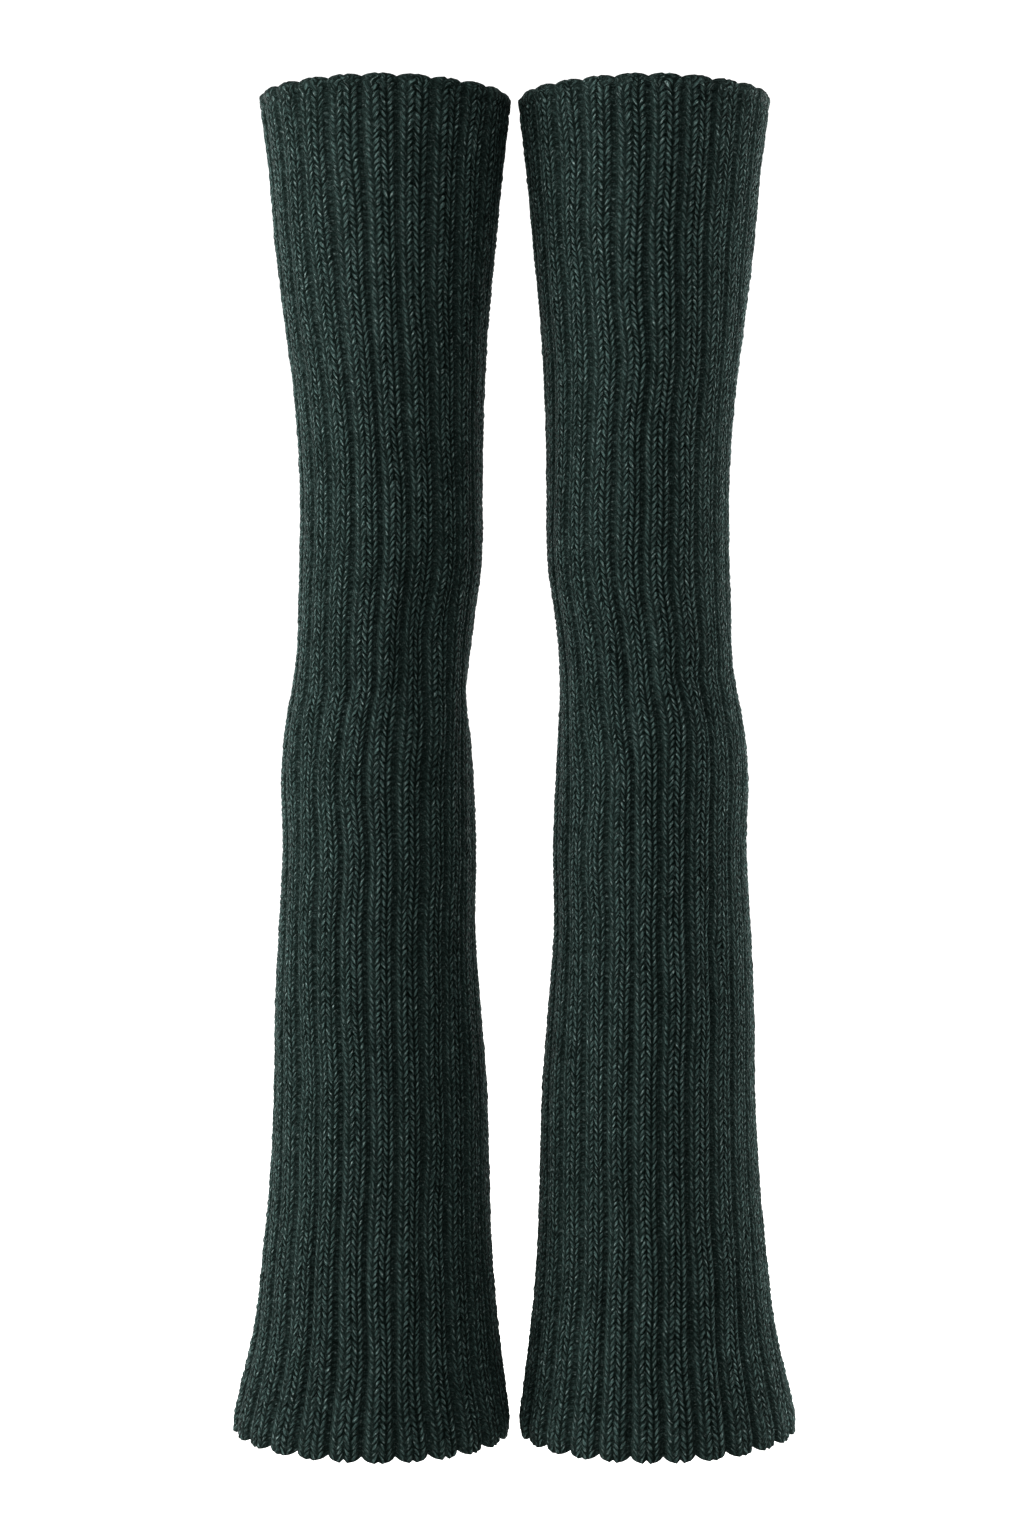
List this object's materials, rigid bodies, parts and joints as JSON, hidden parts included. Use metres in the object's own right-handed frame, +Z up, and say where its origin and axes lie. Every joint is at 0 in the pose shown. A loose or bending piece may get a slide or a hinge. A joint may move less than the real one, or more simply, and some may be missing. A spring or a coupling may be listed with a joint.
{
  "type": "pair of arm warmers",
  "caption": "Long footless ribbed knit tubes for the arms, filled out as worn, open at both ends, with a rolled top edge and a scalloped flared hem.",
  "frame": {"origin": "halfway between the two top edges, at their height, where the upper arms hold the pair", "axes": "+Z up along the arms from hem to top edge, -Y the front that the picture shows, +X towards the picture's right"},
  "size_m": [0.2452, 0.1119, 0.58],
  "materials": {
    "rib_knit_left": "dark green melange wool in a chunky rib, matt and slightly fuzzy",
    "rib_knit_right": "dark green melange wool in a chunky rib, matt and slightly fuzzy"
  },
  "bodies": {
    "root": {"warmer_left": "rib_knit_left", "warmer_right": "rib_knit_right"}
  },
  "joints": []
}
